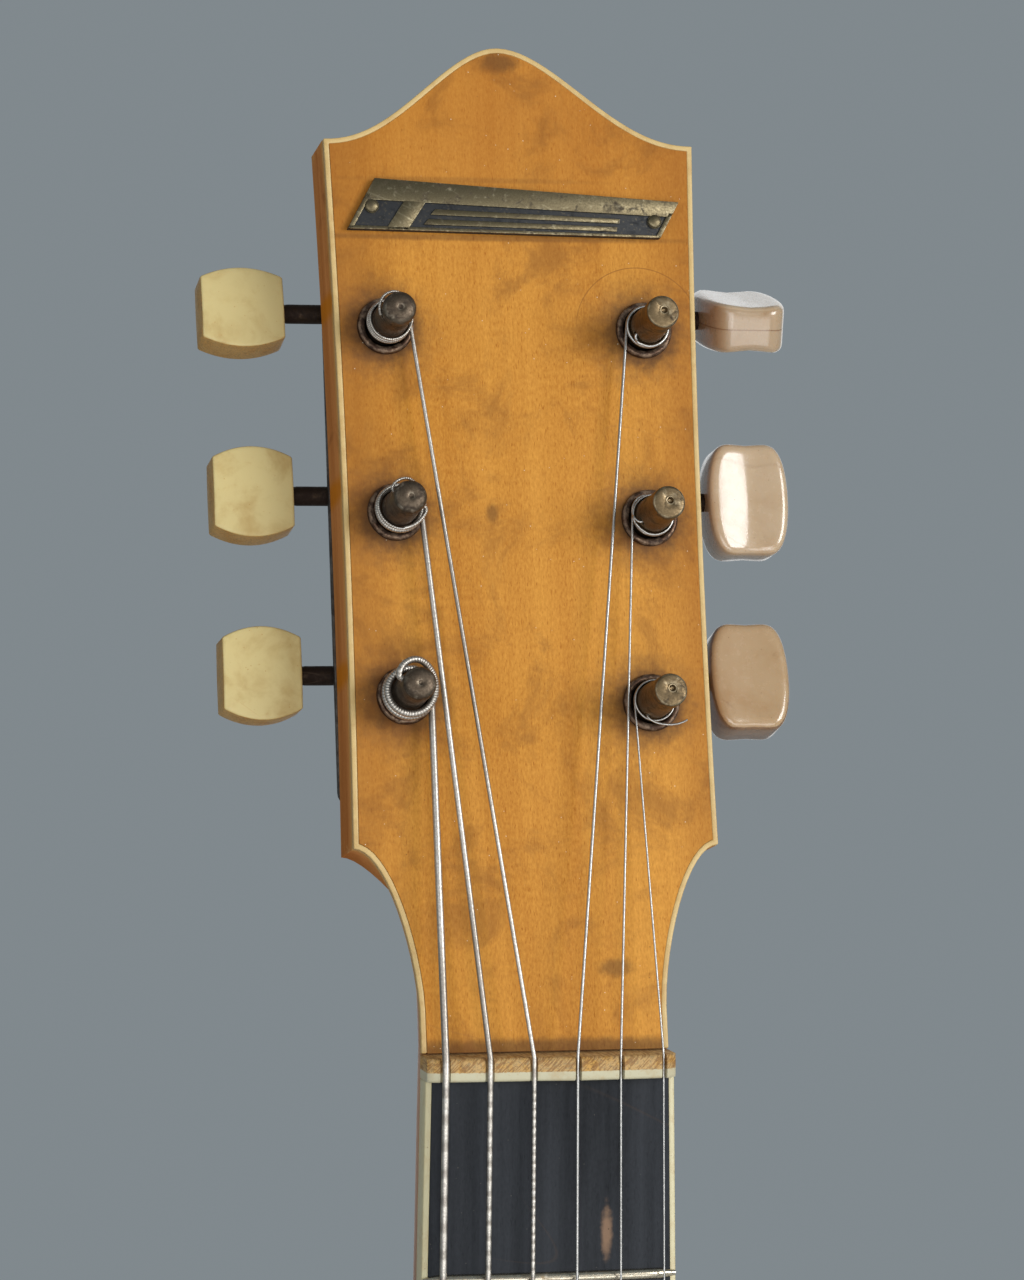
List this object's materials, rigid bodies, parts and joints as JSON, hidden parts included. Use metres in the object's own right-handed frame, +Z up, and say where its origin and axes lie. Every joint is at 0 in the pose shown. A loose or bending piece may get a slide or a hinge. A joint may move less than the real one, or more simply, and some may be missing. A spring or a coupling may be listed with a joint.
{
  "type": "archtop guitar",
  "caption": "Acoustic archtop guitar with carved plates, f-holes, slanted nameplate, worm tuners, adjustable bridge and trapeze tailpiece.",
  "frame": {"origin": "middle of the headstock's throat, just above the nut, where a hanger's yoke takes it", "axes": "+Z up along the neck, -Y out of the front, +X to the treble side"},
  "size_m": [0.4052, 0.1411, 1.0556],
  "materials": {
    "amber_veneer": "aged amber varnish over flecked maple",
    "maple": "red-brown varnish, worn at the edges",
    "spruce": "amber varnish, fine straight grain",
    "inner_spruce": "bare",
    "rosewood": "oiled, open pores",
    "cream_binding": "yellowed celluloid",
    "bone": "polished bone, stained behind",
    "cream_button": "aged cream, brown edges",
    "caramel_button": "glossy pinkish tan",
    "dark_steel": "darkened, dull",
    "aged_nickel": "worn nickel plating",
    "brass": "tarnished",
    "wound_wire": "round wound wire",
    "plain_wire": "bright plain wire",
    "black_plastic": "polished black"
  },
  "bodies": {
    "guitar": {"back_binding": "cream_binding", "back_lining": "inner_spruce", "back_plate": "maple", "bass_tuner_plate": "aged_nickel", "end_block": "inner_spruce", "end_pin": "black_plastic", "ferrule_a": "dark_steel", "ferrule_b": "dark_steel", "ferrule_d": "dark_steel", "ferrule_g": "dark_steel", "ferrule_high_e": "dark_steel", "ferrule_low_e": "dark_steel", "fingerboard": "rosewood", "fingerboard_binding": "cream_binding", "headstock_binding": "cream_binding", "headstock_veneer": "amber_veneer", "heel_cap": "rosewood", "nameplate": "aged_nickel", "neck": "maple", "neck_bar": "dark_steel", "neck_block": "inner_spruce", "nut": "bone", "pickguard": "black_plastic", "pickguard_bracket": "aged_nickel", "rim": "maple", "string_a": "wound_wire", "string_b": "plain_wire", "string_d": "wound_wire", "string_g": "plain_wire", "string_high_e": "plain_wire", "string_low_e": "wound_wire", "tailpiece": "aged_nickel", "tone_bar_bass": "inner_spruce", "tone_bar_treble": "inner_spruce", "top_binding": "cream_binding", "top_lining": "inner_spruce", "top_plate": "spruce", "treble_tuner_plate": "aged_nickel"},
    "knob_low_e": {"button_low_e": "cream_button", "worm_shaft_low_e": "dark_steel"},
    "knob_a": {"button_a": "cream_button", "worm_shaft_a": "dark_steel"},
    "knob_d": {"button_d": "cream_button", "worm_shaft_d": "dark_steel"},
    "knob_g": {"button_g": "caramel_button", "worm_shaft_g": "dark_steel"},
    "knob_b": {"button_b": "caramel_button", "worm_shaft_b": "dark_steel"},
    "knob_high_e": {"button_high_e": "caramel_button", "worm_shaft_high_e": "dark_steel"},
    "post_low_e": {"string_post_low_e": "aged_nickel"},
    "post_a": {"string_post_a": "aged_nickel"},
    "post_d": {"string_post_d": "aged_nickel"},
    "post_g": {"string_post_g": "brass"},
    "post_b": {"string_post_b": "brass"},
    "post_high_e": {"string_post_high_e": "brass"},
    "bridge": {"bridge_base": "rosewood"},
    "saddle": {"bridge_saddle": "rosewood"},
    "wheel_bass": {"thumbwheel_bass": "brass"},
    "wheel_treble": {"thumbwheel_treble": "brass"}
  },
  "joints": [
    {"name": "knob_low_e_turn", "type": "hinge", "parent": "guitar", "child": "knob_low_e", "pos_m": [-0.0233, 0.02411, 0.04053], "axis": [1, 0, 0], "continuous": true, "deforming": ["string_low_e"]},
    {"name": "post_low_e_turn", "type": "hinge", "parent": "guitar", "child": "post_low_e", "pos_m": [-0.0233, 0.00306, 0.0391], "axis": [0, -0.9636, 0.2672], "continuous": true, "deforming": ["string_low_e"]},
    {"name": "knob_a_turn", "type": "hinge", "parent": "guitar", "child": "knob_a", "pos_m": [-0.0238, 0.03309, 0.07291], "axis": [1, 0, 0], "continuous": true, "deforming": ["string_a"]},
    {"name": "post_a_turn", "type": "hinge", "parent": "guitar", "child": "post_a", "pos_m": [-0.0238, 0.01204, 0.07148], "axis": [0, -0.9636, 0.2672], "continuous": true, "deforming": ["string_a"]},
    {"name": "knob_d_turn", "type": "hinge", "parent": "guitar", "child": "knob_d", "pos_m": [-0.0245, 0.04231, 0.10615], "axis": [1, 0, 0], "continuous": true, "deforming": ["string_d"]},
    {"name": "post_d_turn", "type": "hinge", "parent": "guitar", "child": "post_d", "pos_m": [-0.0245, 0.02126, 0.10473], "axis": [0, -0.9636, 0.2672], "continuous": true, "deforming": ["string_d"]},
    {"name": "knob_g_turn", "type": "hinge", "parent": "guitar", "child": "knob_g", "pos_m": [0.0239, 0.04225, 0.10596], "axis": [1, 0, 0], "continuous": true, "deforming": ["string_g"]},
    {"name": "post_g_turn", "type": "hinge", "parent": "guitar", "child": "post_g", "pos_m": [0.0239, 0.02121, 0.10454], "axis": [0, -0.9636, 0.2672], "continuous": true, "deforming": ["string_g"]},
    {"name": "knob_b_turn", "type": "hinge", "parent": "guitar", "child": "knob_b", "pos_m": [0.0234, 0.03285, 0.07204], "axis": [1, 0, 0], "continuous": true, "deforming": ["string_b"]},
    {"name": "post_b_turn", "type": "hinge", "parent": "guitar", "child": "post_b", "pos_m": [0.0234, 0.0118, 0.07061], "axis": [0, -0.9636, 0.2672], "continuous": true, "deforming": ["string_b"]},
    {"name": "knob_high_e_turn", "type": "hinge", "parent": "guitar", "child": "knob_high_e", "pos_m": [0.0222, 0.02371, 0.03909], "axis": [1, 0, 0], "continuous": true, "deforming": ["string_high_e"]},
    {"name": "post_high_e_turn", "type": "hinge", "parent": "guitar", "child": "post_high_e", "pos_m": [0.0222, 0.00266, 0.03766], "axis": [0, -0.9636, 0.2672], "continuous": true, "deforming": ["string_high_e"]},
    {"name": "bridge_shift", "type": "slide", "parent": "guitar", "child": "bridge", "axis": [0, 0, 1], "range_m": [-0.004, 0.004], "deforming": ["string_low_e", "string_a", "string_d", "string_g", "string_b", "string_high_e"]},
    {"name": "saddle_height", "type": "slide", "parent": "bridge", "child": "saddle", "axis": [0, -1, 0], "range_m": [-0.001, 0.002], "deforming": ["string_low_e", "string_a", "string_d", "string_g", "string_b", "string_high_e"]},
    {"name": "thumbwheel_bass_turn", "type": "hinge", "parent": "saddle", "child": "wheel_bass", "pos_m": [-0.037, -0.05241, -0.65406], "axis": [0, -1, 0], "range_deg": [-514, 1028], "deforming": ["string_low_e", "string_a", "string_d", "string_g", "string_b", "string_high_e"]},
    {"name": "thumbwheel_treble_turn", "type": "hinge", "parent": "saddle", "child": "wheel_treble", "pos_m": [0.037, -0.05241, -0.65406], "axis": [0, -1, 0], "range_deg": [-514, 1028], "deforming": ["string_low_e", "string_a", "string_d", "string_g", "string_b", "string_high_e"]}
  ],
  "couplings": [
    {"joint": "post_low_e_turn", "follows": "knob_low_e_turn", "ratio": 0.083333},
    {"joint": "post_a_turn", "follows": "knob_a_turn", "ratio": 0.083333},
    {"joint": "post_d_turn", "follows": "knob_d_turn", "ratio": 0.083333},
    {"joint": "post_g_turn", "follows": "knob_g_turn", "ratio": 0.083333},
    {"joint": "post_b_turn", "follows": "knob_b_turn", "ratio": 0.083333},
    {"joint": "post_high_e_turn", "follows": "knob_high_e_turn", "ratio": 0.083333},
    {"joint": "saddle_height", "follows": "thumbwheel_bass_turn", "m_per_rad": 0.00011141},
    {"joint": "thumbwheel_treble_turn", "follows": "thumbwheel_bass_turn", "ratio": 1}
  ]
}
